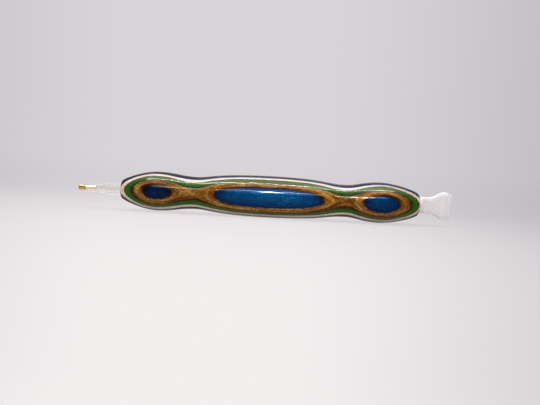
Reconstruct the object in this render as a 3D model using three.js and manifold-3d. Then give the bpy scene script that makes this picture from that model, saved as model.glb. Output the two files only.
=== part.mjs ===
// Diamond painting pen: a handle turned from laminated veneer, with a clear insert and its
// brass single placer in the front end and a white multi-placer in the rear end.
// Millimetres. X runs along the pen, front to the left. The veneers lie flat against each
// other across Y, the first one at -Y. Z is up, and the pen lies on its thickest part.
import * as THREE from "three";
import { mergeVertices } from "three/addons/utils/BufferGeometryUtils.js";
import Module from "manifold-3d";

const wasm = await Module();
wasm.setup();

// Handle: its length, where its end crests and waists lie, and how far the middle crest lies
// in front of the middle of its length
const HANDLE_LENGTH = 127;
const FACE_TO_FRONT_CREST = 15.2;
const FRONT_CREST_TO_WAIST = 16.4;
const MIDDLE_CREST_OFFSET = 0.8;
const REAR_WAIST_TO_CREST = 15.1;
const REAR_CREST_TO_FACE = 16.1;

// Wood left round each socket on the end faces, and how steeply the end corners start
const FRONT_RIM_WIDTH = 1.21;
const REAR_RIM_WIDTH = 0.94;
const FRONT_CORNER_RISE = 0.6;
const REAR_CORNER_RISE = 1.3;

// How far the outline keeps its direction as it arrives at and leaves each crest and waist,
// as a share of the length on that side
const FRONT_CREST_FULLNESS = [0.44, 0.451];
const FRONT_WAIST_FULLNESS = [0.42, 0.206];
const MIDDLE_CREST_FULLNESS = [0.759, 0.767];
const REAR_WAIST_FULLNESS = [0.278, 0.305];
const REAR_CREST_FULLNESS = [0.503, 0.36];

// Glue lines between the veneers: how far the first lies in front of the pen's axis, the
// thickness of each veneer behind it, and how the rest are shared out to the back
const FIRST_GLUE_LINE = 7.94;
const FRONT_VENEER_THICKNESSES = [1.4, 1.3, 1.31, 1.47];
const BACK_VENEER_COUNT = 7;
const LAST_GLUE_LINE_INSET = 0.39;

// The crests stand out past the first glue line, so it shows as an oval round each one. The
// waists stop short of it and stand out past the second.
const FRONT_CREST_HEIGHT = 0.48;
const MIDDLE_CREST_HEIGHT = 1.04;
const REAR_CREST_HEIGHT = 0.81;
const FRONT_WAIST_HEIGHT = 0.44;
const REAR_WAIST_HEIGHT = 0.42;

// Clear insert
const INSERT_RADIUS = 2.7;
const INSERT_WALL = 1.0;
const INSERT_DEPTH_IN_HANDLE = 14;
const INSERT_STRAIGHT_OUTSIDE = 6.9;
const INSERT_SHOULDER_LENGTH = 1.7;
const INSERT_EDGE_CHAMFER = 0.4;
const NOSE_ROOT_WALL = 0.94;
const NOSE_TIP_WALL = 0.54;
const NOSE_LENGTH = 7.2;
const NOSE_EDGE_ROUND = 0.2;

// Brass single placer
const TIP_HEAD_LENGTH = 3.15;
const TIP_SEAT_WIDTH = 0.14;
const TIP_EDGE_ROUND = 0.35;
const TIP_HOLE_RADIUS = 0.6;
const TIP_HOLE_DEPTH = 2.2;
const TIP_SHANK_LENGTH = 4.2;
const TIP_COLLAR_RADIUS = 0.95;
const TIP_COLLAR_HEIGHT = 0.13;
const TIP_COLLAR_LENGTH = 0.5;

// White multi-placer
const PLUG_RADIUS = 3.5;
const PLUG_WALL = 1.4;
const PLUG_DEPTH_IN_HANDLE = 14;
const PLUG_CORE_DEPTH = 12.5;
const PLUG_END_CHAMFER = 0.5;
const NECK_ROUND_LENGTH = 0.5;
const NECK_FLATTENING_LENGTH = 2.2;
const NECK_HALF_THICKNESS = 1.25;
const NECK_STRAIGHT_LENGTH = 5.2;
const NECK_FLARE_LENGTH = 6.0;
const BLADE_STEP_LENGTH = 1.7;
const BLADE_END_LENGTH = 2.6;
const BLADE_HALF_WIDTH = 5.92;
const BLADE_TOP_DROP = 1.0;
const BLADE_BOTTOM_DROP = 0.3;
const BLADE_SQUARENESS = 6;
const BLADE_LIP_THICKNESS = 0.7;
const TROUGH_WIDTH = 1.8;
const TROUGH_DEPTH = 1.6;
const SPUR_REACH = 1.8;
const SPUR_HEIGHT = 1.9;
const SPUR_POINT_DROP = 1.05;

// Room left between a plug and the socket that grips it
const SOCKET_CLEARANCE = 0.06;

// How far a cutting body reaches past the surface that it cuts
const CUT_OVERRUN = 1;

// How finely round things are divided
const HANDLE_SIDES = 52;
const PLUG_SIDES = 32;
const OUTLINE_STEPS = 7;
const ROUND_STEPS = 4;
const SHOULDER_STATIONS = 4;
const NECK_STATIONS = 7;
const STEP_STATIONS = 2;
const BLADE_STATIONS = 4;

// Places along the pen, counted from the handle's front face
const frontFace = 0;
const frontCrest = frontFace + FACE_TO_FRONT_CREST;
const frontWaist = frontCrest + FRONT_CREST_TO_WAIST;
const middleCrest = frontFace + HANDLE_LENGTH / 2 - MIDDLE_CREST_OFFSET;
const rearFace = frontFace + HANDLE_LENGTH;
const rearCrest = rearFace - REAR_CREST_TO_FACE;
const rearWaist = rearCrest - REAR_WAIST_TO_CREST;
const shoulder = frontFace - INSERT_STRAIGHT_OUTSIDE;
const noseRoot = shoulder - INSERT_SHOULDER_LENGTH;
const noseTip = noseRoot - NOSE_LENGTH;
const tipFront = noseTip - TIP_HEAD_LENGTH;
const neckStart = rearFace + NECK_ROUND_LENGTH;
const neckFlat = neckStart + NECK_FLATTENING_LENGTH;
const fullWidth = rearFace + NECK_STRAIGHT_LENGTH + NECK_FLARE_LENGTH;
const bladeStart = fullWidth - BLADE_STEP_LENGTH;
const bladeEnd = fullWidth + BLADE_END_LENGTH;
const spurEnd = bladeEnd + SPUR_REACH;

// Radii and widths that follow from what each piece fits
const frontSocketRadius = INSERT_RADIUS + SOCKET_CLEARANCE;
const rearSocketRadius = PLUG_RADIUS + SOCKET_CLEARANCE;
const noseBoreRadius = TIP_COLLAR_RADIUS + SOCKET_CLEARANCE;
const tipHeadRadius = noseBoreRadius + TIP_SEAT_WIDTH;
const bladeHalfThickness = TROUGH_WIDTH / 2 + BLADE_LIP_THICKNESS;
const secondGlueLine = FIRST_GLUE_LINE - FRONT_VENEER_THICKNESSES[0];
const frontCrestRadius = FIRST_GLUE_LINE + FRONT_CREST_HEIGHT;
const frontWaistRadius = secondGlueLine + FRONT_WAIST_HEIGHT;
const middleCrestRadius = FIRST_GLUE_LINE + MIDDLE_CREST_HEIGHT;
const rearWaistRadius = secondGlueLine + REAR_WAIST_HEIGHT;
const rearCrestRadius = FIRST_GLUE_LINE + REAR_CREST_HEIGHT;
const thickestRadius = Math.max(frontCrestRadius, middleCrestRadius, rearCrestRadius);

const group = new THREE.Group();

// Any closed geometry as a solid, with its faces turned to point outwards
function solidOf(geometry) {
  const bare = geometry.clone();
  bare.deleteAttribute("normal");
  bare.deleteAttribute("uv");
  const merged = mergeVertices(bare, 1e-4);
  const triVerts = new Uint32Array(merged.index.array);
  const vertProperties = merged.attributes.position.array;
  const made = new wasm.Manifold(new wasm.Mesh({ numProp: 3, vertProperties, triVerts }));
  if (made.volume() > 0) return made;
  for (let i = 0; i < triVerts.length; i += 3) {
    [triVerts[i + 1], triVerts[i + 2]] = [triVerts[i + 2], triVerts[i + 1]];
  }
  return new wasm.Manifold(new wasm.Mesh({ numProp: 3, vertProperties, triVerts }));
}

function geometryOf(solid) {
  const mesh = solid.getMesh();
  const geometry = new THREE.BufferGeometry();
  geometry.setAttribute("position", new THREE.BufferAttribute(mesh.vertProperties, 3));
  geometry.setIndex(new THREE.BufferAttribute(mesh.triVerts, 1));
  const flat = geometry.toNonIndexed();
  flat.computeVertexNormals();
  return flat;
}

function addPiece(name, solid, material) {
  const mesh = new THREE.Mesh(geometryOf(solid), material);
  mesh.name = name;
  group.add(mesh);
}

// A profile of [place along the pen, radius] pairs turned about the pen's axis. Half a side
// of turn puts a flat facet at the bottom and at the front.
function turned(profile, sides) {
  const points = profile.map(([along, radius]) => new THREE.Vector2(radius, along));
  const geometry = new THREE.LatheGeometry(points, sides);
  geometry.rotateY(Math.PI / sides);
  geometry.rotateZ(-Math.PI / 2);
  return solidOf(geometry);
}

function cylinder(from, to, radius) {
  return turned([[from, 0], [from, radius], [to, radius], [to, 0]], PLUG_SIDES);
}

function box(xs, ys, zs) {
  const geometry = new THREE.BoxGeometry(xs[1] - xs[0], ys[1] - ys[0], zs[1] - zs[0]);
  geometry.translate((xs[0] + xs[1]) / 2, (ys[0] + ys[1]) / 2, (zs[0] + zs[1]) / 2);
  return solidOf(geometry);
}

// Points along a rounded corner of a profile, from one place to another. The corner is
// where the two straight edges would have met.
function rounded(from, corner, to) {
  const curve = new THREE.QuadraticBezierCurve(
    new THREE.Vector2(...from),
    new THREE.Vector2(...corner),
    new THREE.Vector2(...to),
  );
  return curve.getPoints(ROUND_STEPS).map((p) => [p.x, p.y]);
}

// Outline of the turned handle, from its front face over three crests to its rear face
function handleOutline() {
  const frontRadius = frontSocketRadius + FRONT_RIM_WIDTH;
  const rearRadius = rearSocketRadius + REAR_RIM_WIDTH;
  const turns = [
    { at: frontCrest, radius: frontCrestRadius, fullness: FRONT_CREST_FULLNESS },
    { at: frontWaist, radius: frontWaistRadius, fullness: FRONT_WAIST_FULLNESS },
    { at: middleCrest, radius: middleCrestRadius, fullness: MIDDLE_CREST_FULLNESS },
    { at: rearWaist, radius: rearWaistRadius, fullness: REAR_WAIST_FULLNESS },
    { at: rearCrest, radius: rearCrestRadius, fullness: REAR_CREST_FULLNESS },
  ];
  const path = new THREE.Path();
  path.moveTo(frontFace, frontRadius);
  let leaving = [frontFace, frontRadius + FRONT_CORNER_RISE];
  turns.forEach(({ at, radius, fullness }, i) => {
    const before = i > 0 ? turns[i - 1].at : frontFace;
    const after = i + 1 < turns.length ? turns[i + 1].at : rearFace;
    const arriving = at - fullness[0] * (at - before);
    path.bezierCurveTo(...leaving, arriving, radius, at, radius);
    leaving = [at + fullness[1] * (after - at), radius];
  });
  path.bezierCurveTo(...leaving, rearFace, rearRadius + REAR_CORNER_RISE, rearFace, rearRadius);
  return path.getPoints(OUTLINE_STEPS).map((p) => [p.x, p.y]);
}

// The whole handle as one block, with both sockets, before it is parted into veneers
function handleBlock() {
  const outside = [[frontFace, 0], ...handleOutline(), [rearFace, 0]];
  const front = cylinder(
    frontFace - CUT_OVERRUN, frontFace + INSERT_DEPTH_IN_HANDLE, frontSocketRadius,
  );
  const rear = cylinder(
    rearFace - PLUG_DEPTH_IN_HANDLE, rearFace + CUT_OVERRUN, rearSocketRadius,
  );
  return turned(outside, HANDLE_SIDES).subtract(front).subtract(rear);
}

// Dyed veneers, repeating in this order from the front of the pen to its back
const veneers = [
  { name: "blue", color: 0x174a73 },
  { name: "brown", color: 0x9a6c39 },
  { name: "green", color: 0x4f7a36 },
  { name: "cream", color: 0xe8dcc6 },
].map(({ name, color }) => ({
  name,
  material: new THREE.MeshStandardMaterial({ color, roughness: 0.3, metalness: 0 }),
}));

// Every glue line from front to back, with a plane past the wood on either side
function glueLines() {
  const lines = [FIRST_GLUE_LINE];
  for (const thickness of FRONT_VENEER_THICKNESSES) {
    lines.push(lines.at(-1) - thickness);
  }
  const lastLine = LAST_GLUE_LINE_INSET - FIRST_GLUE_LINE;
  const thickness = (lines.at(-1) - lastLine) / BACK_VENEER_COUNT;
  for (let i = 0; i < BACK_VENEER_COUNT; i += 1) {
    lines.push(lines.at(-1) - thickness);
  }
  const outside = 2 * thickestRadius;
  return [outside, ...lines, -outside];
}

// Which bulge of the handle a separate island of veneer lies on
function islandName(solid) {
  const { min, max } = solid.boundingBox();
  const middle = (min[0] + max[0]) / 2;
  if (middle < frontWaist) return "_front";
  return middle < rearWaist ? "_middle" : "_rear";
}

// A veneer that lies outside the waists is parted by them into an island on each bulge
function addHandle() {
  const block = handleBlock();
  const lines = glueLines();
  const along = [frontFace - CUT_OVERRUN, rearFace + CUT_OVERRUN];
  const up = [-2 * thickestRadius, 2 * thickestRadius];
  for (let i = 0; i + 1 < lines.length; i += 1) {
    const veneer = veneers[i % veneers.length];
    const slab = box(along, [-lines[i], -lines[i + 1]], up);
    const islands = block.intersect(slab).decompose();
    const name = "ply_" + String(i + 1).padStart(2, "0") + "_" + veneer.name;
    for (const island of islands) {
      const suffix = islands.length > 1 ? islandName(island) : "";
      addPiece(name + suffix, island, veneer.material);
    }
  }
}

// Clear tube with a shouldered, tapering nose that grips the brass shank
function addInsert() {
  const back = frontFace + INSERT_DEPTH_IN_HANDLE;
  const boreRadius = INSERT_RADIUS - INSERT_WALL;
  const rootRadius = noseBoreRadius + NOSE_ROOT_WALL;
  const tipRadius = noseBoreRadius + NOSE_TIP_WALL;
  const profile = [
    [back, boreRadius],
    [back, INSERT_RADIUS - INSERT_EDGE_CHAMFER],
    [back - INSERT_EDGE_CHAMFER, INSERT_RADIUS],
    ...rounded(
      [shoulder, INSERT_RADIUS],
      [noseRoot + INSERT_SHOULDER_LENGTH / 4, rootRadius],
      [noseRoot, rootRadius],
    ),
    ...rounded(
      [noseTip + NOSE_EDGE_ROUND, tipRadius],
      [noseTip, tipRadius],
      [noseTip, tipRadius - NOSE_EDGE_ROUND],
    ),
    [noseTip, noseBoreRadius],
    [noseRoot, noseBoreRadius],
    [shoulder, boreRadius],
    [back, boreRadius],
  ];
  const material = new THREE.MeshStandardMaterial({
    color: 0xe4e5e3,
    roughness: 0.12,
    metalness: 0,
    transparent: true,
    opacity: 0.4,
  });
  addPiece("clear_insert", turned(profile, PLUG_SIDES), material);
}

// Brass single placer: a hollow-ended head on a shank with a gripping collar at each end
function addBrassTip() {
  const shankEnd = noseTip + TIP_SHANK_LENGTH;
  const shankRadius = TIP_COLLAR_RADIUS - TIP_COLLAR_HEIGHT;
  const profile = [
    [tipFront + TIP_HOLE_DEPTH, 0],
    [tipFront + TIP_HOLE_DEPTH, TIP_HOLE_RADIUS],
    [tipFront, TIP_HOLE_RADIUS],
    ...rounded(
      [tipFront, tipHeadRadius - TIP_EDGE_ROUND],
      [tipFront, tipHeadRadius],
      [tipFront + TIP_EDGE_ROUND, tipHeadRadius],
    ),
    [noseTip, tipHeadRadius],
    [noseTip, TIP_COLLAR_RADIUS],
    [noseTip + TIP_COLLAR_LENGTH, TIP_COLLAR_RADIUS],
    [noseTip + TIP_COLLAR_LENGTH, shankRadius],
    [shankEnd - TIP_COLLAR_LENGTH, shankRadius],
    [shankEnd - TIP_COLLAR_LENGTH, TIP_COLLAR_RADIUS],
    [shankEnd, TIP_COLLAR_RADIUS],
    [shankEnd, 0],
  ];
  const material = new THREE.MeshStandardMaterial({
    color: 0xc79a4b,
    roughness: 0.28,
    metalness: 1,
  });
  addPiece("brass_tip", turned(profile, PLUG_SIDES), material);
}

// Section of the multi-placer at a place along it: a round plug, a shoulder that flattens
// into a neck, then a thicker blade whose upper and lower edges draw in to its end
function placerSection(along) {
  const { clamp, lerp, smoothstep } = THREE.MathUtils;
  const flattening = smoothstep(along, neckStart, neckFlat);
  const thickening = clamp((along - bladeStart) / BLADE_STEP_LENGTH, 0, 1);
  const widening = smoothstep(along, rearFace + NECK_STRAIGHT_LENGTH, fullWidth);
  const ending = clamp((along - fullWidth) / BLADE_END_LENGTH, 0, 1) ** 2;
  const halfWidth = lerp(PLUG_RADIUS, BLADE_HALF_WIDTH, widening);
  const neckHalfThickness = lerp(PLUG_RADIUS, NECK_HALF_THICKNESS, flattening);
  return {
    top: halfWidth - BLADE_TOP_DROP * ending,
    bottom: halfWidth - BLADE_BOTTOM_DROP * ending,
    halfThickness: lerp(neckHalfThickness, bladeHalfThickness, thickening),
    squareness: lerp(2, BLADE_SQUARENESS, flattening),
  };
}

// One ring of points round the section, drawn in by a chamfer
function placerRing(along, chamfer) {
  const { top, bottom, halfThickness, squareness } = placerSection(along);
  const bent = (value) => Math.sign(value) * Math.abs(value) ** (2 / squareness);
  const ring = [];
  for (let i = 0; i < PLUG_SIDES; i += 1) {
    const angle = (2 * Math.PI * (i + 0.5)) / PLUG_SIDES;
    const across = bent(Math.cos(angle)) * (halfThickness - chamfer);
    const up = bent(Math.sin(angle)) * ((angle < Math.PI ? top : bottom) - chamfer);
    ring.push([along, across, up]);
  }
  return ring;
}

// A closed skin through a row of rings, with a flat fan over each end
function skinned(rings) {
  const sides = rings[0].length;
  const last = (rings.length - 1) * sides;
  const positions = rings.flat(2);
  const index = [];
  for (let r = 0; r + 1 < rings.length; r += 1) {
    for (let i = 0; i < sides; i += 1) {
      const a = r * sides + i;
      const b = r * sides + ((i + 1) % sides);
      index.push(a, b, a + sides, b, b + sides, a + sides);
    }
  }
  const firstCentre = positions.length / 3;
  positions.push(rings[0][0][0], 0, 0, rings.at(-1)[0][0], 0, 0);
  for (let i = 0; i < sides; i += 1) {
    const next = (i + 1) % sides;
    index.push(firstCentre, next, i, firstCentre + 1, last + i, last + next);
  }
  const geometry = new THREE.BufferGeometry();
  geometry.setAttribute("position", new THREE.Float32BufferAttribute(positions, 3));
  geometry.setIndex(index);
  return solidOf(geometry);
}

// Small point that stands past the working end at the upper corner of its back lip
function spur() {
  const top = BLADE_HALF_WIDTH - BLADE_TOP_DROP;
  const shape = new THREE.Shape();
  shape.moveTo(bladeEnd - TROUGH_DEPTH, top);
  shape.lineTo(spurEnd, top - SPUR_POINT_DROP);
  shape.lineTo(bladeEnd - TROUGH_DEPTH / 4, top - SPUR_HEIGHT);
  shape.closePath();
  const depth = BLADE_LIP_THICKNESS;
  const geometry = new THREE.ExtrudeGeometry(shape, { depth, bevelEnabled: false });
  geometry.rotateX(Math.PI / 2);
  geometry.translate(0, bladeHalfThickness, 0);
  return solidOf(geometry);
}

// White multi-placer: hollow round plug, neck and flared blade with a trough for wax
function addMultiPlacer() {
  const inner = rearFace - PLUG_DEPTH_IN_HANDLE;
  const rings = [
    placerRing(inner, PLUG_END_CHAMFER),
    placerRing(inner + PLUG_END_CHAMFER, 0),
  ];
  for (const [from, to, stations] of [
    [neckStart, neckFlat, SHOULDER_STATIONS],
    [neckFlat, bladeStart, NECK_STATIONS],
    [bladeStart, fullWidth, STEP_STATIONS],
    [fullWidth, bladeEnd, BLADE_STATIONS],
  ]) {
    for (let i = 0; i < stations; i += 1) {
      rings.push(placerRing(from + ((to - from) * i) / stations, 0));
    }
  }
  rings.push(placerRing(bladeEnd, 0));
  const coreRadius = PLUG_RADIUS - PLUG_WALL;
  const core = cylinder(inner - CUT_OVERRUN, inner + PLUG_CORE_DEPTH, coreRadius);
  const trough = box(
    [bladeEnd - TROUGH_DEPTH, bladeEnd + CUT_OVERRUN],
    [-TROUGH_WIDTH / 2, TROUGH_WIDTH / 2],
    [-2 * BLADE_HALF_WIDTH, 2 * BLADE_HALF_WIDTH],
  );
  const solid = skinned(rings).subtract(core).subtract(trough).add(spur());
  const material = new THREE.MeshStandardMaterial({
    color: 0xe6e6e6,
    roughness: 0.35,
    metalness: 0,
  });
  addPiece("multi_placer", solid, material);
}

addHandle();
addInsert();
addBrassTip();
addMultiPlacer();

// The origin is under the middle of the pen's length, and the lowest facet is at Z = 0
group.position.x = -(tipFront + spurEnd) / 2;
group.position.z = thickestRadius * Math.cos(Math.PI / HANDLE_SIDES);

export default group;
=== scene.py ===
import math

import bmesh
import bpy
import numpy as np
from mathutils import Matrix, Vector


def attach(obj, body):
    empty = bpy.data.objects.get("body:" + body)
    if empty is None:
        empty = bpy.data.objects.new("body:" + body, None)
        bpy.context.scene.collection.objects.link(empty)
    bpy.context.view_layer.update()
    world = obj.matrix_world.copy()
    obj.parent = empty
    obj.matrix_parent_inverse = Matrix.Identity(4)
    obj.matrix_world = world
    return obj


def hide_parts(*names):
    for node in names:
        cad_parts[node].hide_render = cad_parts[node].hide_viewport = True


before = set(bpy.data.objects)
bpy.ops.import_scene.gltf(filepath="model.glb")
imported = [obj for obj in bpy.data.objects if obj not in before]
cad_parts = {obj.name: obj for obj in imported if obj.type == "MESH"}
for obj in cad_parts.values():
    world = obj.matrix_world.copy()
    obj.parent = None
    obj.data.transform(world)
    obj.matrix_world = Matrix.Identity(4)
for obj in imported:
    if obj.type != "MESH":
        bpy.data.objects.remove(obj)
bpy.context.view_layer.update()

# Sizes below are in millimetres in the pen's own frame: X along the pen with its front to
# the left, the first veneer towards -Y, Z up. Meshes are made in metres.
mm = 0.001


def paint(red, green, blue):
    # a colour as it looks on a screen, 0 to 255, as the linear values that a shader takes
    def linear(level):
        level = level / 255
        return level / 12.92 if level <= 0.04045 else ((level + 0.055) / 1.055) ** 2.4
    return (linear(red), linear(green), linear(blue), 1.0)


class Link:
    # one output of a node, wrapped so that sums on it read as plain Python
    def __init__(self, sheet, socket):
        self.sheet = sheet
        self.socket = socket

    def maths(self, operation, *terms):
        return self.sheet.node("ShaderNodeMath", {"operation": operation}, dict(enumerate(terms)))

    def __add__(self, other):
        return self.maths("ADD", self, other)

    def __radd__(self, other):
        return self.maths("ADD", other, self)

    def __sub__(self, other):
        return self.maths("SUBTRACT", self, other)

    def __rsub__(self, other):
        return self.maths("SUBTRACT", other, self)

    def __mul__(self, other):
        return self.maths("MULTIPLY", self, other)

    def __rmul__(self, other):
        return self.maths("MULTIPLY", other, self)

    def __truediv__(self, other):
        return self.maths("DIVIDE", self, other)

    def __neg__(self):
        return self.maths("MULTIPLY", self, -1)

    def __abs__(self):
        return self.maths("ABSOLUTE", self)

    def larger(self, other):
        return self.maths("MAXIMUM", self, other)

    def sine(self):
        return self.maths("SINE", self)

    def fade(self, start, end):
        # 0 up to start, 1 from end on, smooth in between
        values = {"Value": self, "From Min": start, "From Max": end}
        return self.sheet.node("ShaderNodeMapRange", {"interpolation_type": "SMOOTHSTEP"}, values)

    def out(self, name):
        return Link(self.sheet, self.socket.node.outputs[name])


class Sheet:
    # a node tree that is being drawn up
    def __init__(self, tree):
        self.tree = tree

    def node(self, kind, settings=None, values=None, output=0):
        made = self.tree.nodes.new(kind)
        for name, value in (settings or {}).items():
            if name == "stops":
                ramp = made.color_ramp
                while len(ramp.elements) < len(value):
                    ramp.elements.new(1.0)
                for element, (place, colour) in zip(ramp.elements, value):
                    element.position = place
                    element.color = colour
            else:
                setattr(made, name, value)
        for key, value in (values or {}).items():
            for each in value if isinstance(value, list) else [value]:
                if isinstance(each, Link):
                    self.tree.links.new(each.socket, made.inputs[key])
                else:
                    made.inputs[key].default_value = each
        return Link(self, made.outputs[output])

    def blend(self, share, first, second, way="MIX"):
        settings = {"data_type": "RGBA", "blend_type": way}
        return self.node("ShaderNodeMix", settings, {0: share, 6: first, 7: second}, output=2)

    def stretched(self, place, scale, shift=(0, 0, 0)):
        settings = {"operation": "MULTIPLY_ADD"}
        return self.node("ShaderNodeVectorMath", settings, {0: place, 1: scale, 2: shift})

    def noise(self, place, scale, shift=(0, 0, 0), detail=2.0, roughness=0.5, distortion=0.0):
        # scale is in features to the millimetre along X, Y and Z
        values = {
            "Vector": self.stretched(place, scale, shift),
            "Scale": 1.0,
            "Detail": detail,
            "Roughness": roughness,
            "Distortion": distortion,
        }
        return self.node("ShaderNodeTexNoise", {}, values)


def newFinish(name):
    finish = bpy.data.materials.new(name)
    finish.use_nodes = True
    finish.node_tree.nodes.clear()
    return finish, Sheet(finish.node_tree)


def surface(sheet, shader):
    made = sheet.tree.nodes.new("ShaderNodeOutputMaterial")
    sheet.tree.links.new(shader.socket, made.inputs["Surface"])


def places(sheet):
    # where a point of the surface is, in millimetres
    metres = sheet.node("ShaderNodeTexCoord", output="Object")
    return sheet.stretched(metres, (1000, 1000, 1000))


def addObject(name, mesh):
    piece = bpy.data.objects.new(name, mesh)
    bpy.context.scene.collection.objects.link(piece)
    return piece


# Camera: where the photograph was taken from, and its focal length
cameraSet = {
    "place": (2.108, -215.353, 19.761),
    "turn": (86.48465, -3.02682, 0.27904),   # degrees
    "lens": 33.333,
    "sensor": 36,
    "clip": (0.01, 20),     # metres
}


def addCamera():
    made = bpy.data.cameras.new("photoCamera")
    made.lens = cameraSet["lens"]
    made.sensor_width = cameraSet["sensor"]
    made.clip_start, made.clip_end = cameraSet["clip"]
    camera = addObject("photoCamera", made)
    camera.location = Vector(cameraSet["place"]) * mm
    camera.rotation_euler = [math.radians(angle) for angle in cameraSet["turn"]]
    bpy.context.scene.camera = camera


# Studio: a pale sweep, a tent of soft light that is open and dark behind the camera, a soft
# lamp overhead, a small one in front, and lamps that only glint in the lacquer; in metres
studioSet = {
    "sweepFront": -3.0,
    "bendStart": 0.10,
    "bendRadius": 0.9,
    "bendSteps": 24,
    "sweepTop": 3.0,
    "sweepWidth": 6.0,
    "paperTone": (240, 240, 240),
    "colours": [(240, 236, 236), (216, 213, 216)],   # near the camera and far from it
    "colourReach": [-0.15, 0.14],
    "slant": 0.2,           # how much sooner the paper darkens on the right
    "edgeShade": (222, 222, 225),    # how it darkens towards both sides
    "edgeReach": [0.12, 0.88],
    "brightest": -0.1,
    "meeting": 0.22,        # how far in front of the pen the sides of that shading meet
    "nearest": 0.05,
    "meetingReach": [-0.25, -0.16],
    "ownLight": 0.83,       # how much of the floor's look is its own colour; the rest is lit
    "wallRise": [0.0, 0.03],         # heights between which that share rises to all
    "behind": (214, 211, 214),       # what the camera sees past the sweep
    "tentColour": (250, 248, 252),
    "tentStrength": 0.54,
    "opening": [0.35, 0.9],
    "openingStrength": 0.03,
    # each lamp: degrees above the front, distance, size, power, whether it only glints, and
    # for some where it stands and aims along the pen in millimetres, and its spread in degrees
    "lamps": {
        "overheadSoftbox": (80.0, 0.45, (0.80, 0.40), 2.95, False),
        "overheadGlint": (77.0, 0.45, (0.55, 0.005), 7.0, True),
        "ceilingGlint": (88.0, 0.45, (0.55, 0.14), 1.5, True),
        "frontLamp": (36.0, 0.55, (0.30, 0.16), 0.4, False),
        "middleGlint": (28.0, 0.55, (0.07, 0.10), 11.0, True, 7, 8, 8.0),
        "rearGlint": (29.5, 0.55, (0.05, 0.06), 9.0, True, -60, 39, 5.0),
        "frontLineGlint": (31.0, 0.55, (0.45, 0.03), 2.1, True),
    },
}


def addSweep():
    s = studioSet
    rows = [(s["sweepFront"], 0.0), (s["bendStart"], 0.0)]
    for i in range(1, s["bendSteps"] + 1):
        angle = math.pi / 2 * i / s["bendSteps"]
        rows.append((
            s["bendStart"] + s["bendRadius"] * math.sin(angle),
            s["bendRadius"] * (1 - math.cos(angle)),
        ))
    rows.append((rows[-1][0], s["sweepTop"]))
    half = s["sweepWidth"] / 2
    corners = [(side * half, y, z) for y, z in rows for side in (-1, 1)]
    faces = [(2 * i, 2 * i + 1, 2 * i + 3, 2 * i + 2) for i in range(len(rows) - 1)]
    mesh = bpy.data.meshes.new("studioSweep")
    mesh.from_pydata(corners, [], faces)
    mesh.shade_smooth()
    sweep = addObject("studioSweep", mesh)
    finish, sheet = newFinish("sweepPaper")
    spot = sheet.node("ShaderNodeTexCoord", output="Object")
    place = sheet.node("ShaderNodeSeparateXYZ", {}, {0: spot})
    # painted shade on the sweep, as round a pool of light at the pen: it darkens away from the camera,
    # sooner on the right, and towards both sides
    far = (place.out("Y") + place.out("X") * s["slant"]).fade(*s["colourReach"])
    near, distant = [paint(*colour) for colour in s["colours"]]
    colour = sheet.blend(far, near, distant)
    across = place.out("X") / (place.out("Y") + s["meeting"]).larger(s["nearest"])
    aside = abs(across - s["brightest"]).fade(*s["edgeReach"])
    aside = aside * place.out("Y").fade(*s["meetingReach"])
    shaded = sheet.blend(1.0, colour, paint(*s["edgeShade"]), "MULTIPLY")
    colour = sheet.blend(aside, colour, shaded)
    wall = sheet.node("ShaderNodeEmission", {}, {"Color": colour})
    paper = sheet.node("ShaderNodeBsdfPrincipled", {}, {
        "Base Color": sheet.blend(1.0, colour, paint(*s["paperTone"]), "MULTIPLY"),
        "Roughness": 0.9, "Specular IOR Level": 0.1,
    })
    rays = sheet.node("ShaderNodeLightPath", output="Is Camera Ray")
    seen = rays * (s["ownLight"] + (1 - s["ownLight"]) * place.out("Z").fade(*s["wallRise"]))
    share = seen.larger(rays.out("Is Transmission Ray")).larger(rays.out("Is Glossy Ray"))
    surface(sheet, sheet.node("ShaderNodeMixShader", {}, {0: share, 1: paper, 2: wall}))
    mesh.materials.append(finish)


def addTent():
    s = studioSet
    world = bpy.data.worlds.new("lightTent")
    bpy.context.scene.world = world
    world.use_nodes = True
    world.node_tree.nodes.clear()
    sheet = Sheet(world.node_tree)
    aim = sheet.node("ShaderNodeTexCoord", output="Generated")
    parts = sheet.node("ShaderNodeSeparateXYZ", {}, {0: aim})
    inFront = (-parts.out("Y")).fade(*s["opening"])
    strength = s["tentStrength"] * (1 - inFront) + s["openingStrength"] * inFront
    light = sheet.node("ShaderNodeBackground", {}, {0: paint(*s["tentColour"]), 1: strength})
    seen = sheet.node("ShaderNodeBackground", {}, {0: paint(*s["behind"]), 1: 1.0})
    rays = sheet.node("ShaderNodeLightPath", output="Is Camera Ray")
    rays = rays.larger(rays.out("Is Transmission Ray"))
    mixed = sheet.node("ShaderNodeMixShader", {}, {0: rays, 1: light, 2: seen})
    made = world.node_tree.nodes.new("ShaderNodeOutputWorld")
    world.node_tree.links.new(mixed.socket, made.inputs["Surface"])


def addLamp(name, elevation, distance, size, power, glint, aside=0, aim=0, spread=179.0):
    # aside: where the lamp stands along X; aim: the place along X that it points at
    height = 9
    lamp = bpy.data.lights.new(name, "AREA")
    lamp.shape = "RECTANGLE"
    lamp.size, lamp.size_y = size
    half = math.radians(spread) / 2
    lamp.spread = 2 * half
    lamp.energy = power * (1 - half / math.tan(half))    # as bright on its axis with any spread
    piece = addObject(name, lamp)
    angle = math.radians(elevation)
    toLamp = Vector((0, -math.cos(angle), math.sin(angle)))
    piece.location = Vector((aside, 0, height)) * mm + toLamp * distance
    turned = piece.location - Vector((aim, 0, height)) * mm
    piece.rotation_euler = turned.to_track_quat("Z", "Y").to_euler()
    if glint:
        piece.visible_diffuse = False
        piece.light_linking.receiver_collection = lacquered


addCamera()
addSweep()
addTent()
lacquered = bpy.data.collections.new("lacquered")    # the pieces that the glints fall on
for lampName, lampValues in studioSet["lamps"].items():
    addLamp(lampName, *lampValues)
print("studio and camera made")


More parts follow.
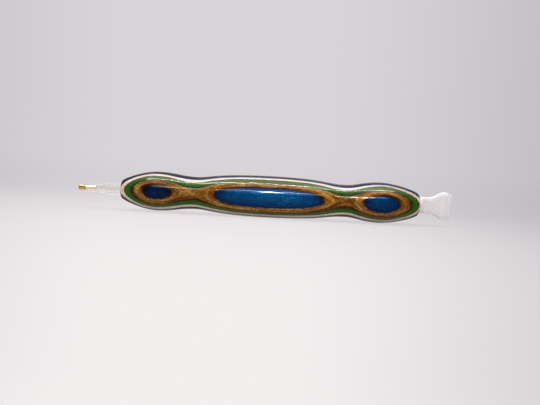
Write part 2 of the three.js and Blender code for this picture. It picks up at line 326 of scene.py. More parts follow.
# Handle: the outline of the turned blank, the planes of its glue lines, and its two sockets
axisHeight = 8.9636
handleSet = {
    "faces": [-61.825, 65.175],
    "faceRadii": [3.97, 4.50],
    "cornerRises": [0.6, 1.3],
    # each crest and waist: place along the pen, radius, and how full the curve arrives and leaves
    "turns": [
        (-46.625, 8.42, 0.44, 0.451),
        (-30.225, 6.98, 0.42, 0.206),
        (0.875, 8.98, 0.759, 0.767),
        (33.975, 6.96, 0.278, 0.305),
        (49.075, 8.75, 0.503, 0.36),
    ],
    "blockFaces": [9.39, -9.0],      # of the block before turning, in front and at the back
    "glueLines": [7.94, 6.54, 5.24, 3.93, 2.46, 1.03, -0.40, -1.83, -3.26, -4.69, -6.12, -7.55],
    "sockets": [(-62.825, -47.825, 2.76), (51.175, 66.175, 3.56)],
    "span": (-63, 67),      # reaches past both end faces
    "reach": 40,            # taller than the blank is thick
    "shrink": 0.998176,     # keeps the round surface inside the flat sides of the solids
    "stations": 300,
    "sides": 208,
}


def outlineSpline():
    # the outline as a Bezier curve in the XY plane: X along the pen, Y the radius
    h = handleSet
    shrink = h["shrink"]
    curve = bpy.data.curves.new("handleOutline", "CURVE")
    curve.dimensions = "3D"
    curve.resolution_u = 64
    spline = curve.splines.new("BEZIER")
    spline.bezier_points.add(len(h["turns"]) + 1)
    stops = [h["faces"][0]] + [turn[0] for turn in h["turns"]] + [h["faces"][1]]
    knots = []
    start = (h["faces"][0], h["faceRadii"][0])
    knots.append((start, start, (start[0], start[1] + h["cornerRises"][0])))
    for i, (at, radius, arriving, leaving) in enumerate(h["turns"]):
        before = at - arriving * (at - stops[i])
        after = at + leaving * (stops[i + 2] - at)
        knots.append(((before, radius), (at, radius), (after, radius)))
    end = (h["faces"][1], h["faceRadii"][1])
    knots.append(((end[0], end[1] + h["cornerRises"][1]), end, end))
    for point, (left, middle, right) in zip(spline.bezier_points, knots):
        point.handle_left_type = point.handle_right_type = "FREE"
        point.handle_left = (left[0] * mm, left[1] * shrink * mm, 0)
        point.co = (middle[0] * mm, middle[1] * shrink * mm, 0)
        point.handle_right = (right[0] * mm, right[1] * shrink * mm, 0)
    return curve, knots


def slopeTable(knots):
    # the outline's place along the pen, and the angle at which it rises there
    along, rise = [], []
    for (_, p0, p1), (p2, p3, _) in zip(knots, knots[1:]):
        for t in np.linspace(0.002, 0.998, 400):
            u = 1 - t
            weights = (u * u, 2 * u * t, t * t)
            steps = [(p1[k] - p0[k], p2[k] - p1[k], p3[k] - p2[k]) for k in (0, 1)]
            dx, dr = [3 * sum(w * d for w, d in zip(weights, step)) for step in steps]
            x = u**3 * p0[0] + 3 * u * u * t * p1[0] + 3 * u * t * t * p2[0] + t**3 * p3[0]
            along.append(x * mm)
            rise.append(math.atan2(dr, dx))
    return np.array(along), np.array(rise)


def veneerTree():
    # turns the outline about the pen's axis, bores both sockets and keeps what lies between
    # two glue lines
    tree = bpy.data.node_groups.new("turnedVeneer", "GeometryNodeTree")
    tree.interface.new_socket("Outline", in_out="INPUT", socket_type="NodeSocketGeometry")
    floats = [
        "Axis Height", "From", "To", "Front Plane", "Back Plane", "Reach",
        "Front Bore Radius", "Front Bore Middle", "Front Bore Length",
        "Rear Bore Radius", "Rear Bore Middle", "Rear Bore Length",
    ]
    for name in ["Stations", "Sides"]:
        tree.interface.new_socket(name, in_out="INPUT", socket_type="NodeSocketInt")
    for name in floats:
        tree.interface.new_socket(name, in_out="INPUT", socket_type="NodeSocketFloat")
    tree.interface.new_socket("Wood", in_out="INPUT", socket_type="NodeSocketMaterial")
    tree.interface.new_socket("Veneer", in_out="OUTPUT", socket_type="NodeSocketGeometry")
    sheet = Sheet(tree)
    given = sheet.node("NodeGroupInput")

    resampled = sheet.node(
        "GeometryNodeResampleCurve", {}, {"Curve": given, "Count": given.out("Stations")},
    )
    where = sheet.node("ShaderNodeSeparateXYZ", {}, {0: sheet.node("GeometryNodeInputPosition")})
    onAxis = sheet.node("ShaderNodeCombineXYZ", {}, {0: where.out("X"), 2: given.out("Axis Height")})
    thick = sheet.node("GeometryNodeSetCurveRadius", {}, {"Curve": resampled, "Radius": where.out("Y")})
    spine = sheet.node("GeometryNodeSetPosition", {}, {"Geometry": thick, "Position": onAxis})
    ring = sheet.node(
        "GeometryNodeCurvePrimitiveCircle", {}, {"Resolution": given.out("Sides"), "Radius": 1.0},
    )
    blank = sheet.node("GeometryNodeCurveToMesh", {}, {
        "Curve": spine,
        "Profile Curve": ring,
        "Scale": sheet.node("GeometryNodeInputRadius"),
        "Fill Caps": True,
    })

    def bore(end):
        rod = sheet.node("GeometryNodeMeshCylinder", {}, {
            "Vertices": given.out("Sides"),
            "Radius": given.out(end + " Bore Radius"),
            "Depth": given.out(end + " Bore Length"),
        })
        place = sheet.node("ShaderNodeCombineXYZ", {}, {
            0: given.out(end + " Bore Middle"), 2: given.out("Axis Height"),
        })
        return sheet.node("GeometryNodeTransform", {}, {
            "Geometry": rod, "Translation": place, "Rotation": (0, math.pi / 2, 0),
        })

    bored = sheet.node(
        "GeometryNodeMeshBoolean", {"operation": "DIFFERENCE", "solver": "MANIFOLD"},
        {"Mesh 1": blank, "Mesh 2": [bore("Front"), bore("Rear")]},
    )
    slabSize = sheet.node("ShaderNodeCombineXYZ", {}, {
        0: given.out("To") - given.out("From"),
        1: given.out("Back Plane") - given.out("Front Plane"),
        2: given.out("Reach"),
    })
    slabPlace = sheet.node("ShaderNodeCombineXYZ", {}, {
        0: (given.out("To") + given.out("From")) / 2,
        1: (given.out("Back Plane") + given.out("Front Plane")) / 2,
        2: given.out("Axis Height"),
    })
    cube = sheet.node("GeometryNodeMeshCube", {}, {"Size": slabSize})
    slab = sheet.node("GeometryNodeTransform", {}, {"Geometry": cube, "Translation": slabPlace})
    veneer = sheet.node(
        "GeometryNodeMeshBoolean", {"operation": "INTERSECT", "solver": "MANIFOLD"},
        {"Mesh 2": [bored, slab]},
    )
    whole = sheet.node("GeometryNodeRealizeInstances", {}, {0: veneer})
    clad = sheet.node("GeometryNodeSetMaterial", {}, {"Geometry": whole, "Material": given.out("Wood")})
    made = tree.nodes.new("NodeGroupOutput")
    tree.links.new(clad.socket, made.inputs[0])
    return tree


def grownMesh(source, tree, values, name):
    # the result of a node tree on an object, with these inputs, as a plain mesh
    modifier = source.modifiers.new(tree.name, "NODES")
    modifier.node_group = tree
    for item in tree.interface.items_tree:
        if item.item_type == "SOCKET" and item.in_out == "INPUT" and item.name in values:
            modifier[item.identifier] = values[item.name]
    bpy.context.view_layer.update()
    depsgraph = bpy.context.evaluated_depsgraph_get()
    mesh = bpy.data.meshes.new_from_object(source.evaluated_get(depsgraph))
    mesh.name = name
    source.modifiers.remove(modifier)
    return mesh


def dressNormals(mesh, slopes, planes):
    # flat glue and end faces stay flat; the turned surface gets the outline's own normals,
    # so that its polish runs on from veneer to veneer
    along, rise = slopes
    count = len(mesh.loops)
    mesh.shade_smooth()
    corners = np.empty(count, np.int32)
    mesh.loops.foreach_get("vertex_index", corners)
    points = np.empty(len(mesh.vertices) * 3)
    mesh.vertices.foreach_get("co", points)
    points = points.reshape(-1, 3)
    faceNormals = np.empty(len(mesh.polygons) * 3)
    mesh.polygons.foreach_get("normal", faceNormals)
    faceNormals = faceNormals.reshape(-1, 3)
    sizes = np.empty(len(mesh.polygons), np.int32)
    mesh.polygons.foreach_get("loop_total", sizes)
    normals = np.repeat(faceNormals, sizes, axis=0)
    centres = np.empty(len(mesh.polygons) * 3)
    mesh.polygons.foreach_get("center", centres)
    centres = centres.reshape(-1, 3)
    onPlane = np.zeros(len(mesh.polygons), bool)
    for plane in planes:
        onPlane |= (np.abs(centres[:, 1] - plane) < 1e-6) & (np.abs(faceNormals[:, 1]) > 0.9999)
    onEnd = np.abs(faceNormals[:, 0]) > 0.9995
    outward = centres - np.array([0, 0, axisHeight * mm])
    outward[:, 0] = 0
    facing = (faceNormals[:, 1] * outward[:, 1] + faceNormals[:, 2] * outward[:, 2]) > 0
    turned = np.repeat(~onPlane & ~onEnd & facing, sizes)
    inBore = np.repeat(~onPlane & ~onEnd & ~facing, sizes)
    spots = points[corners]
    radial = spots - np.array([0, 0, axisHeight * mm])
    radial[:, 0] = 0
    radial /= np.maximum(np.linalg.norm(radial, axis=1), 1e-9)[:, None]
    angle = np.interp(spots[:, 0], along, rise)
    smooth = radial * np.cos(angle)[:, None]
    smooth[:, 0] = -np.sin(angle)
    normals[turned] = smooth[turned]
    normals[inBore] = -radial[inBore]
    mesh.normals_split_custom_set(normals.tolist())


# Wood: how light each dyed veneer is from its front glue line (0) to the one behind (1),
# the tints from its darkest tone to its lightest, how strongly each kind of figure shows,
# how much painted shade darkens it towards the ends of the pen, and how much it is painted
# paler low down as a painted reflection of the bright floor
woodSet = {
    "blue": {
        "tones": [(0, 0.0), (0.06, 0.35), (0.14, 0.6), (0.3, 0.68), (0.45, 0.62), (0.6, 0.58),
                  (0.75, 0.51), (0.87, 0.42), (0.94, 0.35), (0.98, 0.24), (1, 0.06)],
        "tints": [(0, (8, 11, 26)), (0.13, (2, 16, 48)), (0.27, (1, 28, 68)), (0.42, (0, 39, 83)),
                  (0.6, (0, 57, 100)), (0.8, (8, 83, 128)), (1, (44, 124, 164))],
        "rings": 0.1, "fibres": 0.6, "mottle": 0.85, "patches": 0.12,
        "cells": 0.0, "pores": 0.12, "pits": 0.0, "ticks": 0.0,
        "endShade": 0.2, "sheen": 0.16, "paintedFloorLight": (0.6, 0.5, 3.0, (150, 152, 172)),
    },
    "brown": {
        "tones": [(0, 0.0), (0.02, 0.08), (0.05, 0.18), (0.1, 0.3), (0.18, 0.42), (0.29, 0.5),
                  (0.38, 0.56), (0.46, 0.62), (0.56, 0.5), (0.64, 0.47), (0.75, 0.54),
                  (0.86, 0.45), (0.94, 0.26), (1, 0.08)],
        "tints": [(0, (20, 13, 9)), (0.15, (52, 27, 9)), (0.3, (95, 53, 13)), (0.42, (122, 74, 19)),
                  (0.55, (147, 101, 34)), (0.68, (171, 126, 54)), (0.85, (205, 164, 94)),
                  (1, (231, 198, 138))],
        "rings": 0.9, "fibres": 0.85, "mottle": 0.5, "patches": 0.4,
        "cells": 0.2, "pores": 0.15, "pits": 0.35, "ticks": 0.0,
        "endShade": 0.03, "sheen": 0.018, "paintedFloorLight": None,
    },
    "green": {
        "tones": [(0, 0.08), (0.08, 0.22), (0.14, 0.34), (0.28, 0.42), (0.4, 0.5), (0.6, 0.56),
                  (0.84, 0.48), (0.93, 0.24), (1, 0.05)],
        "tints": [(0, (26, 26, 16)), (0.2, (34, 50, 22)), (0.35, (38, 68, 22)), (0.5, (44, 89, 20)),
                  (0.7, (44, 117, 12)), (0.85, (60, 140, 24)), (1, (100, 168, 64))],
        "rings": 0.3, "fibres": 0.65, "mottle": 0.3, "patches": 0.3,
        "cells": 0.0, "pores": 0.08, "pits": 0.0, "ticks": 0.0,
        "endShade": 0.0, "sheen": 0.02, "paintedFloorLight": (0.62, 1.0, 6.0, (96, 98, 78)),
    },
    "cream": {
        "tones": [(0, 0.0), (0.08, 0.3), (0.16, 0.5), (0.5, 0.62), (0.86, 0.5), (0.94, 0.25), (1, 0.0)],
        "tints": [(0, (58, 46, 32)), (0.2, (138, 114, 84)), (0.35, (198, 175, 142)),
                  (0.5, (219, 200, 171)), (0.7, (233, 220, 197)), (1, (244, 235, 219))],
        "rings": 0.25, "fibres": 0.5, "mottle": 0.4, "patches": 0.4,
        "cells": 0.0, "pores": 0.1, "pits": 0.0, "ticks": 0.5,
        "endShade": 0.0, "sheen": 0.01, "paintedFloorLight": (0.5, 0.5, 3.5, (240, 226, 208)),
    },
}
lacquerSet = {
    "roughness": 0.035,
    "bend": 1.15,           # its refractive index
    "coat": 0.05,           # a soft bloom round each highlight
    "coatRoughness": 0.2,
    "sheenRoughness": 0.38,
    "wear": 0.12,           # duller low on the front, where fingers hold it
    "waves": 0.014,         # how deep the polish waves and follows the grain, in millimetres
    "grain": 0.002,
}
figureAndShadeSet = {
    "wander": 0.09,         # how far the tones stray across the depth of a veneer
    "backStain": 0.08,      # how much darker the browns behind the first one are
    "frontVeneers": 6,      # the ones that may have ray marks
    # painted shade: where the veneers start to darken towards both ends of the pen, and the slope of
    # more painted shade towards the front along the whole pen
    "endShadeReach": (25, 45),   # where the ends start to darken, and the slope along the whole pen
    "endShadeSlope": 110,
}


def woodFinish(kind, number, front, back):
    w = woodSet[kind]
    f = figureAndShadeSet
    finish, sheet = newFinish("%sWood%02d" % (kind, number))
    place = places(sheet)
    across = sheet.node("ShaderNodeSeparateXYZ", {}, {0: place})
    seed = (number * 13.7, number * 7.3, number * 5.1)
    rings = sheet.noise(place, (0.05, 3.0, 0.2), seed, detail=2)
    fibres = sheet.noise(place, (0.6, 3.6, 4.0), seed, detail=3, roughness=0.6)
    mottle = sheet.noise(place, (1.5, 2.2, 2.2), seed, detail=3, roughness=0.6, distortion=0.4)
    patches = sheet.noise(place, (0.16, 0.3, 0.3), seed, detail=1)
    pores = sheet.noise(place, (1.1, 6.0, 6.5), seed, detail=1).fade(0.60, 0.70)

    share = (across.out("Y") + front) / (front - back) + (mottle - 0.5) * f["wander"]
    greys = [(at, (tone, tone, tone, 1)) for at, tone in w["tones"]]
    tone = sheet.node("ShaderNodeValToRGB", {"stops": greys}, {0: share})
    if kind == "brown" and number > 2:
        tone = tone - f["backStain"]
    mottled = (mottle - 0.5) * (0.45 + patches.fade(0.38, 0.62)) + 0.5
    figures = {"rings": rings, "fibres": fibres, "mottle": mottled, "patches": patches}
    for name, figure in figures.items():
        tone = tone + w[name] * (figure - 0.5)
    # painted shade: darker towards both ends of the pen, and darker towards its front than its back
    endShade = abs(across.out("X")).fade(*f["endShadeReach"]) - across.out("X") / f["endShadeSlope"]
    tone = tone - w["pores"] * pores - w["endShade"] * endShade
    if w["pits"]:
        tone = tone - w["pits"] * pores * (1 - share.fade(0.1, 0.4))
    if w["cells"]:
        # light beads with dark outlines, where the cut runs along the grain of the sheet
        vector = sheet.stretched(place, (1.5, 1.9, 1.9), seed)
        cells = sheet.node("ShaderNodeTexVoronoi", {}, {"Vector": vector, "Scale": 1.0})
        tone = tone + w["cells"] * patches.fade(0.42, 0.6) * (0.5 - cells.fade(0.25, 0.7))
    if w["ticks"] and number <= f["frontVeneers"]:
        # fine slanting ray marks towards both ends of the pen, on the veneers in front
        wave = (across.out("X") * 6.5 + across.out("Z") * 4.6 + mottle * 3.0).sine()
        marked = across.out("X").fade(38, 52) + 0.3 * (-across.out("X")).fade(42, 54)
        tone = tone - w["ticks"] * wave.fade(0.3, 0.95) * marked
    stops = [(at, paint(*tint)) for at, tint in w["tints"]]
    colour = sheet.node("ShaderNodeValToRGB", {"stops": stops}, {0: tone})
    if w["paintedFloorLight"]:
        # paler low down, a painted reflection of the bright floor below: how much, between which
        # heights, to what tint
        amount, low, high, tint = w["paintedFloorLight"]
        colour = sheet.blend(amount * (1 - across.out("Z").fade(low, high)), colour, paint(*tint))

    lacquer = lacquerSet
    # duller low on the front of the pen, where fingers hold it
    handled = 1 - (across.out("X") + 8 * patches).fade(-26, -10)
    handled = handled * (1 - across.out("Z").fade(13, 14.5))
    waves = sheet.noise(place, (0.4, 0.8, 0.8), seed, detail=1)
    grain = sheet.noise(place, (1.9, 1.6, 1.6), seed, detail=2) + fibres * 0.5 - pores * 0.3
    bump = sheet.node("ShaderNodeBump", {}, {
        "Strength": 1.0, "Distance": mm, "Height": waves * lacquer["waves"] + grain * lacquer["grain"],
    })
    polish = sheet.node("ShaderNodeBsdfPrincipled", {}, {
        "Base Color": colour,
        "Roughness": lacquer["roughness"] + 0.03 * fibres + lacquer["wear"] * handled,
        "IOR": lacquer["bend"],
        "Coat Weight": lacquer["coat"] * (1 - 0.5 * pores),
        "Coat Roughness": lacquer["coatRoughness"],
        "Coat IOR": 1.5,
        "Normal": bump,
    })
    # the dyed fibres under the polish shine in their own colour towards the lamps
    sheen = sheet.node("ShaderNodeBsdfPrincipled", {}, {
        "Base Color": colour,
        "Metallic": 1.0,
        "Roughness": lacquer["sheenRoughness"] + 0.1 * mottle,
        "Normal": bump,
    })
    surface(sheet, sheet.node("ShaderNodeMixShader", {}, {0: w["sheen"], 1: polish, 2: sheen}))
    return finish


def addHandle():
    h = handleSet
    curve, knots = outlineSpline()
    source = addObject("handleOutline", curve)
    slopes = slopeTable(knots)
    tree = veneerTree()
    (frontOpen, frontEnd, frontRadius), (rearEnd, rearOpen, rearRadius) = h["sockets"]
    shared = {
        "Stations": h["stations"],
        "Sides": h["sides"],
        "Axis Height": axisHeight * mm,
        "Reach": h["reach"] * mm,
        "Front Bore Radius": frontRadius * mm,
        "Front Bore Middle": (frontOpen + frontEnd) / 2 * mm,
        "Front Bore Length": (frontEnd - frontOpen) * mm,
        "Rear Bore Radius": rearRadius * mm,
        "Rear Bore Middle": (rearEnd + rearOpen) / 2 * mm,
        "Rear Bore Length": (rearOpen - rearEnd) * mm,
    }
    whole = h["span"]
    waists = [h["turns"][1][0], h["turns"][3][0]]
    islands = [
        ("_front", (whole[0], waists[0])),
        ("_middle", tuple(waists)),
        ("_rear", (waists[1], whole[1])),
    ]
    lines = h["blockFaces"][:1] + h["glueLines"] + h["blockFaces"][1:]
    kinds = ["blue", "brown", "green", "cream"]
    planes = [-line * mm for line in h["glueLines"]]
    for i, (front, back) in enumerate(zip(lines, lines[1:])):
        kind = kinds[i % 4]
        finish = woodFinish(kind, i + 1, front, back)
        outer = i in (0, len(lines) - 2)
        for suffix, (start, end) in islands if outer else [("", whole)]:
            node = "ply_%02d_%s%s" % (i + 1, kind, suffix)
            values = dict(shared, **{
                "From": start * mm, "To": end * mm,
                "Front Plane": -front * mm, "Back Plane": -back * mm,
                "Wood": finish,
            })
            mesh = grownMesh(source, tree, values, "veneer_" + node)
            dressNormals(mesh, slopes, planes)
            piece = addObject("veneer_" + node, mesh)
            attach(piece, "handle")
            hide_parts(node)
            lacquered.objects.link(piece)
    bpy.data.objects.remove(source)
    print("handle turned and parted into veneers")


addHandle()


def turnedMesh(name, profile, sides, rounding=0.0, steps=3):
    # a closed or axis-to-axis profile of (along, radius) pairs turned about the pen's axis,
    # its corners rounded off by the given size
    soft = []
    last = len(profile) - 1
    for i, (x, r) in enumerate(profile):
        if i in (0, last) or rounding == 0:
            soft.append((x, r))
            continue
        here = Vector((x, r))
        before = Vector(profile[i - 1]) - here
        after = Vector(profile[i + 1]) - here
        reach = min(rounding, before.length * 0.45, after.length * 0.45)
        if before.length > 0 and after.length > 0 and before.angle(after) > math.radians(160):
            soft.append((x, r))
            continue
        start = here + before.normalized() * reach
        end = here + after.normalized() * reach
        for k in range(steps + 1):
            t = k / steps
            p = start * (1 - t) ** 2 + here * 2 * t * (1 - t) + end * t * t
            soft.append((p.x, p.y))
    build = bmesh.new()
    rows = []
    for x, r in soft:
        if r < 1e-6:
            rows.append([build.verts.new((x * mm, 0, axisHeight * mm))] * sides)
            continue
        row = []
        for i in range(sides):
            angle = 2 * math.pi * i / sides
            row.append(build.verts.new((
                x * mm, r * math.cos(angle) * mm, (axisHeight + r * math.sin(angle)) * mm,
            )))
        rows.append(row)
    for low, high in zip(rows, rows[1:]):
        for i in range(sides):
            j = (i + 1) % sides
            corners = []
            for vert in (low[i], low[j], high[j], high[i]):
                if vert not in corners:
                    corners.append(vert)
            if len(corners) > 2:
                build.faces.new(corners)
    bmesh.ops.remove_doubles(build, verts=build.verts, dist=1e-7)
    bmesh.ops.recalc_face_normals(build, faces=build.faces)
    mesh = bpy.data.meshes.new(name)
    build.to_mesh(mesh)
    build.free()
    mesh.shade_smooth()
    mesh.set_sharp_from_angle(angle=math.radians(40))
    return mesh


# Insert: clear plastic tube with a shoulder and a tapering nose that grips the shank
insertSet = {
    "back": -47.825, "shoulder": -68.725, "noseRoot": -70.425, "noseTip": -77.625,
    "outer": 2.7, "bore": 1.7, "rootRadius": 1.95, "tipRadius": 1.55, "noseBore": 1.01,
    "seam": 0.3,            # where the profile starts and ends, up from the bore
    "sides": 96, "shoulderSteps": 8,
}


def clearPlastic():
    finish, sheet = newFinish("clearPlastic")
    place = places(sheet)
    cloud = sheet.noise(place, (0.5, 1.2, 1.2), detail=3)
    scuffs = sheet.noise(place, (0.8, 9, 9), detail=2)
    bump = sheet.node("ShaderNodeBump", {}, {
        "Strength": 0.15, "Distance": 0.001 * mm, "Height": scuffs + cloud,
    })
    shader = sheet.node("ShaderNodeBsdfPrincipled", {}, {
        "Base Color": sheet.blend(cloud, paint(246, 244, 240), paint(255, 254, 251)),
        "Roughness": 0.002 + 0.01 * cloud,
        "IOR": 1.1,
        "Transmission Weight": 1.0,
        "Coat Weight": 0.3,
        "Coat Roughness": 0.08,
        "Normal": bump,
    })
    surface(sheet, shader)
    return finish


def addInsert():
    n = insertSet
    span = n["shoulder"] - n["noseRoot"]
    bulge = []
    for k in range(n["shoulderSteps"] + 1):
        t = k / n["shoulderSteps"]
        ease = t * t * (3 - 2 * t)
        bulge.append((n["shoulder"] - span * t, n["outer"] + (n["rootRadius"] - n["outer"]) * ease))
    profile = [
        (n["back"], n["bore"] + n["seam"]),
        (n["back"], n["outer"]),
        *bulge,
        (n["noseTip"], n["tipRadius"]),
        (n["noseTip"], n["noseBore"]),
        (n["noseRoot"], n["noseBore"]),
        (n["shoulder"], n["bore"]),
        (n["back"], n["bore"]),
        (n["back"], n["bore"] + n["seam"]),
    ]
    mesh = turnedMesh("clearInsert", profile, n["sides"], rounding=0.22, steps=4)
    mesh.materials.append(clearPlastic())
    piece = addObject("clearInsert", mesh)
    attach(piece, "insert")
    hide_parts("clear_insert")
    print("insert made")


addInsert()

# Tip: brass head, hollow at its end, on a shank with a gripping collar at each end
tipSet = {
    "front": -80.775, "seat": -77.625, "shankEnd": -73.425,
    "headRadius": 1.15, "holeRadius": 0.6, "holeDepth": 2.2,
    "shankRadius": 0.82, "collarRadius": 0.95, "collarLength": 0.5,
    "sides": 96,
}


def turnedBrass():
    finish, sheet = newFinish("turnedBrass")
    place = places(sheet)
    across = sheet.node("ShaderNodeSeparateXYZ", {}, {0: place})
    toolMarks = sheet.noise(place, (14, 0.2, 0.2), detail=2)
    tarnish = sheet.noise(place, (0.9, 1.1, 1.1), detail=4, roughness=0.6)
    colour = sheet.blend(tarnish.fade(0.35, 0.7), paint(214, 184, 116), paint(194, 160, 92))
    # painted shade: the brass darker towards the front end of the head and in its hole
    frontShade = 1 - (across.out("X") - tipSet["front"]).fade(0.0, 1.2)
    # painted highlight: the shank and its collars inside the clear insert are paler, for the light that
    # shows on them through the plastic
    shankGleam = (across.out("X") - tipSet["seat"]).fade(-0.05, 0.05)    # bright where the insert grips it
    shankGleamColour = paint(250, 234, 196)
    bump = sheet.node("ShaderNodeBump", {}, {
        "Strength": 0.4, "Distance": 0.006 * mm, "Height": toolMarks,
    })
    shader = sheet.node("ShaderNodeBsdfPrincipled", {}, {
        "Base Color": sheet.blend(shankGleam, sheet.blend(frontShade * 0.15, colour, paint(150, 104, 44)), shankGleamColour),
        "Metallic": 1.0,
        "Roughness": 0.2 + 0.14 * tarnish,
        "Normal": bump,
    })
    surface(sheet, shader)
    return finish


def addTip():
    t = tipSet
    bottom = t["front"] + t["holeDepth"]
    profile = [
        (bottom + 0.25, 0),
        (bottom, t["holeRadius"]),
        (t["front"] + 0.12, t["holeRadius"]),
        (t["front"], t["holeRadius"] + 0.12),
        (t["front"], t["headRadius"] - 0.28),
        (t["front"] + 0.1, t["headRadius"] - 0.1),
        (t["front"] + 0.35, t["headRadius"]),
        (t["seat"], t["headRadius"]),
        (t["seat"], t["collarRadius"]),
        (t["seat"] + t["collarLength"], t["collarRadius"]),
        (t["seat"] + t["collarLength"], t["shankRadius"]),
        (t["shankEnd"] - t["collarLength"], t["shankRadius"]),
        (t["shankEnd"] - t["collarLength"], t["collarRadius"]),
        (t["shankEnd"], t["collarRadius"]),
        (t["shankEnd"], 0),
    ]
    mesh = turnedMesh("brassTip", profile, t["sides"], rounding=0.08, steps=3)
    mesh.materials.append(turnedBrass())
    piece = addObject("brassTip", mesh)
    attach(piece, "tip")
    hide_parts("brass_tip")
    print("brass tip made")


addTip()

# Multi-placer: round plug and neck that thin into a flared blade with a trough in its end
placerSet = {
    "inner": 51.175, "neckStart": 65.675, "neckFlat": 67.875,
    "straightEnd": 70.375, "bladeStart": 74.675, "fullWidth": 76.375, "bladeEnd": 78.975,
    "plugRadius": 3.5, "halfWidth": 5.92, "neckHalfThickness": 1.25, "halfThickness": 1.6,
    "topDrop": 0.9, "bottomDrop": 0.3, "squareness": 6,
    "coreRadius": 2.1, "coreEnd": 63.675,
    "troughHalf": 0.9, "troughDepth": 1.6,
    "spurEnd": 80.775, "spurHeight": 1.7, "spurPointDrop": 0.7,
    "chamfer": 0.5, "edge": 0.12, "edgeStart": 0.035,
    "sides": 112, "stations": 90,
}


def partOf(value, start, end):
    return min(1, max(0, (value - start) / (end - start)))


def smoothPart(value, start, end):
    part = partOf(value, start, end)
    return part * part * (3 - 2 * part)


def placerRing(along, inset):
    p = placerSet
    flat = smoothPart(along, p["neckStart"], p["neckFlat"])
    thick = partOf(along, p["bladeStart"], p["fullWidth"])
    wide = smoothPart(along, p["straightEnd"], p["fullWidth"])
    ending = partOf(along, p["fullWidth"], p["bladeEnd"]) ** 2
    halfWidth = p["plugRadius"] + (p["halfWidth"] - p["plugRadius"]) * wide - inset
    neck = p["plugRadius"] + (p["neckHalfThickness"] - p["plugRadius"]) * flat
    halfThickness = neck + (p["halfThickness"] - neck) * thick - inset
    power = 2 / (2 + (p["squareness"] - 2) * flat)
    ring = []
    for i in range(p["sides"]):
        angle = 2 * math.pi * (i + 0.5) / p["sides"]
        c, s = math.cos(angle), math.sin(angle)
        edge = halfWidth - p["topDrop" if s > 0 else "bottomDrop"] * ending
        ring.append((
            along * mm,
            math.copysign(abs(c) ** power, c) * halfThickness * mm,
            (axisHeight + math.copysign(abs(s) ** power, s) * edge) * mm,
        ))
    return ring


def loftedMesh(name, rings):
    build = bmesh.new()
    rows = [[build.verts.new(point) for point in ring] for ring in rings]
    count = len(rows[0])
    for low, high in zip(rows, rows[1:]):
        for i in range(count):
            j = (i + 1) % count
            build.faces.new((low[i], low[j], high[j], high[i]))
    build.faces.new(rows[0])
    build.faces.new(rows[-1])
    bmesh.ops.recalc_face_normals(build, faces=build.faces)
    mesh = bpy.data.meshes.new(name)
    build.to_mesh(mesh)
    build.free()
    return mesh


def boxMesh(name, xs, ys, zs):
    build = bmesh.new()
    corners = [(x * mm, y * mm, z * mm) for x in xs for y in ys for z in zs]
    verts = [build.verts.new(corner) for corner in corners]
    bmesh.ops.convex_hull(build, input=verts)
    bmesh.ops.recalc_face_normals(build, faces=build.faces)
    mesh = bpy.data.meshes.new(name)
    build.to_mesh(mesh)
    build.free()
    return mesh


def combined(mesh, cuts, adds):
    # the mesh with the cuts taken off it and the adds joined to it
    source = addObject("blank", mesh)
    helpers = []
    for operation, others in (("DIFFERENCE", cuts), ("UNION", adds)):
        for other in others:
            helper = addObject("helper", other)
            helpers.append(helper)
            modifier = source.modifiers.new("join", "BOOLEAN")
            modifier.operation = operation
            modifier.solver = "EXACT"
            modifier.object = helper
    bpy.context.view_layer.update()
    depsgraph = bpy.context.evaluated_depsgraph_get()
    result = bpy.data.meshes.new_from_object(source.evaluated_get(depsgraph))
    for helper in helpers + [source]:
        bpy.data.objects.remove(helper)
    return result


def milkyPlastic():
    finish, sheet = newFinish("milkyPlastic")
    place = places(sheet)
    flow = sheet.noise(place, (0.25, 0.9, 0.9), detail=3, distortion=0.8)
    speckle = sheet.noise(place, (5, 5, 5), detail=2)
    bump = sheet.node("ShaderNodeBump", {}, {
        "Strength": 0.25, "Distance": 0.006 * mm, "Height": flow + speckle * 0.5,
    })
    shader = sheet.node("ShaderNodeBsdfPrincipled", {}, {
        "Base Color": sheet.blend(flow, paint(237, 233, 231), paint(246, 243, 241)),
        "Roughness": 0.35 + 0.15 * speckle,
        "IOR": 1.35,
        "Subsurface Weight": 0.6,
        "Subsurface Radius": (1.0, 0.95, 0.9),
        "Subsurface Scale": 0.003,
        "Normal": bump,
    })
    surface(sheet, shader)
    return finish


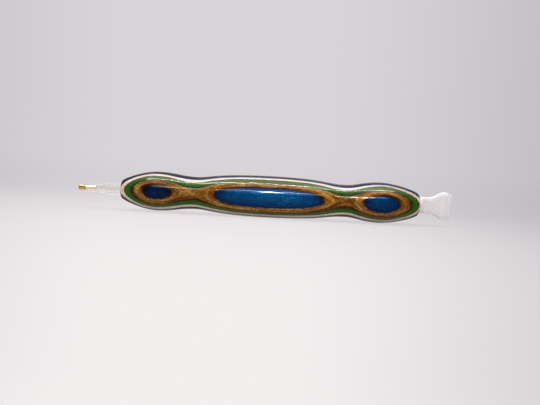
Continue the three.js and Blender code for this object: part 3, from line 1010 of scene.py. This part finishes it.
def addPlacer():
    p = placerSet
    chamfer = p["chamfer"]
    rings = [placerRing(p["inner"], chamfer)]
    rings.append(placerRing(p["inner"] + chamfer * 0.3, chamfer * 0.3))
    rings.append(placerRing(p["inner"] + chamfer, 0))
    rings.append(placerRing(p["neckStart"], 0))
    reach = p["bladeEnd"] - p["edge"] - p["neckStart"]
    for i in range(1, p["stations"] + 1):
        rings.append(placerRing(p["neckStart"] + reach * i / p["stations"], 0))
    rings.append(placerRing(p["bladeEnd"] - p["edgeStart"], p["edgeStart"]))
    rings.append(placerRing(p["bladeEnd"], p["edge"]))
    body = loftedMesh("multiPlacer", rings)
    core = turnedMesh("core", [
        (p["inner"] - 1, 0), (p["inner"] - 1, p["coreRadius"]),
        (p["coreEnd"], p["coreRadius"]), (p["coreEnd"] + 0.4, 0),
    ], 64)
    trough = boxMesh(
        "trough", (p["bladeEnd"] - p["troughDepth"], p["bladeEnd"] + 1),
        (-p["troughHalf"], p["troughHalf"]), (axisHeight - 12, axisHeight + 12),
    )
    top = axisHeight + p["halfWidth"] - p["topDrop"]
    lip = p["halfThickness"] - p["troughHalf"]
    outline = [
        (p["bladeEnd"] - p["troughDepth"], top - 0.1),
        (p["bladeEnd"] - 0.2, top - 0.05),
        (p["spurEnd"] - 0.15, top - p["spurPointDrop"] + 0.08),
        (p["spurEnd"], top - p["spurPointDrop"] - 0.05),
        (p["spurEnd"] - 0.18, top - p["spurPointDrop"] - 0.15),
        (p["bladeEnd"] - p["troughDepth"] / 4, top - p["spurHeight"]),
    ]
    spur = loftedMesh("spur", [
        [(x * mm, y * mm, z * mm) for x, z in outline]
        for y in (p["halfThickness"] - lip, p["halfThickness"] - 0.04)
    ])
    mesh = combined(body, [core, trough], [spur])
    mesh.name = "multiPlacer"
    mesh.materials.clear()
    mesh.materials.append(milkyPlastic())
    mesh.shade_smooth()
    mesh.set_sharp_from_angle(angle=math.radians(40))
    piece = addObject("multiPlacer", mesh)
    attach(piece, "placer")
    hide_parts("multi_placer")
    print("multi-placer made")


addPlacer()

view = bpy.context.scene.view_settings
view.view_transform = "Standard"
